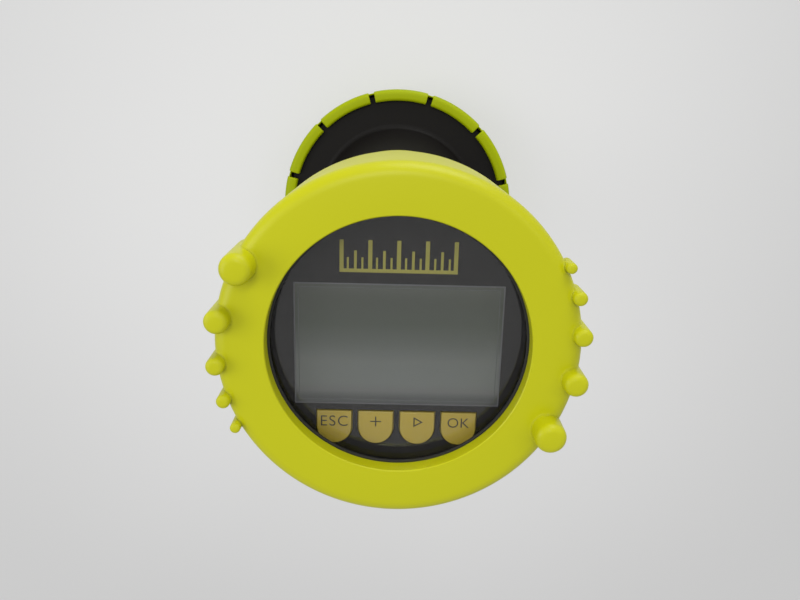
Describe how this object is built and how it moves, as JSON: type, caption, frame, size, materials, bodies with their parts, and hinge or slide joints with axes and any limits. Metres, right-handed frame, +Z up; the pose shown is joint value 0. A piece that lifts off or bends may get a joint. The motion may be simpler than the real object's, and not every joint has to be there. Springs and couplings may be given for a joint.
{
  "type": "radar level transmitter",
  "caption": "Radar level transmitter: horn antenna with a clipped cap, a turning housing with a cable gland, and a screwed lid with a window over a display and keys.",
  "frame": {"origin": "centre of the flat floor of the protective cap, which the transmitter stands on", "axes": "+Z up along the antenna's and housing's axis towards the lid; +Y towards the top edge of the display, -Y along the cable gland; +X to the right of the display"},
  "size_m": [0.1166, 0.1226, 0.2615],
  "materials": {
    "cap_plastic": "satin moulded polyethylene",
    "horn_plastic": "fine matt polypropylene",
    "lens_plastic": "natural polypropylene",
    "seal_rubber": "smooth rubber",
    "waveguide_brass": "drawn",
    "steel": "turned",
    "module_aluminium": "milled",
    "neck_plastic": "glass-filled, matt",
    "housing_plastic": "moulded polyester, satin gloss",
    "lid_plastic": "moulded polyester, satin gloss",
    "insert_plastic": "matt",
    "board": "solder-resist green",
    "terminal_plastic": "matt grey",
    "contact_metal": "gold flash",
    "gland_plastic": "polyamide, fine grain",
    "washer_plastic": "natural polyamide",
    "display_plastic": "dark foil",
    "screen_glass": "polished liquid crystal glass",
    "backlight_plastic": "white diffuser",
    "key_plastic": "satin silicone",
    "window_glass": "clear"
  },
  "bodies": {
    "antenna": {"protective_cap": "cap_plastic", "horn_antenna": "horn_plastic", "antenna_lens": "lens_plastic", "collar_seal": "seal_rubber", "feed_tube": "waveguide_brass", "neck_adapter": "neck_plastic", "neck_oring": "seal_rubber", "neck_snap_ring": "steel", "microwave_module": "module_aluminium"},
    "housing": {"housing_body": "housing_plastic", "electronics_pot": "insert_plastic", "main_board": "board", "terminal_carrier": "insert_plastic", "terminal_block": "terminal_plastic", "terminal_screws": "steel", "insert_screws": "steel", "contact_pins": "contact_metal", "gland_body": "gland_plastic", "gland_face_seal": "seal_rubber", "gland_seal_insert": "seal_rubber", "vent_cap": "gland_plastic", "ground_clamp": "steel", "ground_screw": "steel"},
    "display": {"display_case": "insert_plastic", "display_board": "board", "screen_backlight": "backlight_plastic", "screen_glass": "screen_glass", "display_face": "display_plastic", "contact_pads": "contact_metal", "key_switches": "steel"},
    "esc_key": {"esc_key": "key_plastic"},
    "plus_key": {"plus_key": "key_plastic"},
    "arrow_key": {"arrow_key": "key_plastic"},
    "ok_key": {"ok_key": "key_plastic"},
    "lid_seal": {"lid_oring": "seal_rubber"},
    "lid": {"lid_ring": "lid_plastic", "lid_window": "window_glass", "window_gasket": "seal_rubber", "window_retainer": "insert_plastic"},
    "gland_washer": {"gland_slip_washer": "washer_plastic"},
    "gland_nut": {"gland_nut": "gland_plastic"},
    "plug_seal": {"plug_oring": "seal_rubber"},
    "plug": {"blind_plug": "gland_plastic"}
  },
  "joints": [
    {"name": "housing_turn", "type": "hinge", "parent": "antenna", "child": "housing", "pos_m": [0, 0, 0.1348], "axis": [0, 0, 1], "range_deg": [-165, 165]},
    {"name": "display_turn", "type": "hinge", "parent": "housing", "child": "display", "pos_m": [0, 0, 0.217], "axis": [0, 0, 1], "range_deg": [0, 25]},
    {"name": "esc_press", "type": "slide", "parent": "display", "child": "esc_key", "axis": [0, 0, -1], "range_m": [0, 0.0006], "stiffness_N_per_m": 600},
    {"name": "plus_press", "type": "slide", "parent": "display", "child": "plus_key", "axis": [0, 0, -1], "range_m": [0, 0.0006], "stiffness_N_per_m": 600},
    {"name": "arrow_press", "type": "slide", "parent": "display", "child": "arrow_key", "axis": [0, 0, -1], "range_m": [0, 0.0006], "stiffness_N_per_m": 600},
    {"name": "ok_press", "type": "slide", "parent": "display", "child": "ok_key", "axis": [0, 0, -1], "range_m": [0, 0.0006], "stiffness_N_per_m": 600},
    {"name": "lid_rise", "type": "slide", "parent": "housing", "child": "lid_seal", "axis": [0, 0, 1], "range_m": [0, 0.0101]},
    {"name": "lid_turn", "type": "hinge", "parent": "lid_seal", "child": "lid", "pos_m": [0, 0, 0.25], "axis": [0, 0, 1], "range_deg": [0, 900]},
    {"name": "gland_nut_run", "type": "slide", "parent": "housing", "child": "gland_washer", "axis": [0, -1, 0], "range_m": [0, 0.0061]},
    {"name": "gland_nut_turn", "type": "hinge", "parent": "gland_washer", "child": "gland_nut", "pos_m": [0, -0.06, 0.199], "axis": [0, -1, 0], "range_deg": [0, 1440]},
    {"name": "plug_run", "type": "slide", "parent": "housing", "child": "plug_seal", "axis": [1, 0, 0], "range_m": [0, 0.0076]},
    {"name": "plug_turn", "type": "hinge", "parent": "plug_seal", "child": "plug", "pos_m": [0.045, 0, 0.199], "axis": [1, 0, 0], "range_deg": [0, 1800]}
  ],
  "couplings": [
    {"joint": "lid_rise", "follows": "lid_turn", "m_per_rad": 0.00063662},
    {"joint": "gland_nut_run", "follows": "gland_nut_turn", "m_per_rad": 0.00023873},
    {"joint": "plug_run", "follows": "plug_turn", "m_per_rad": 0.00023873}
  ]
}
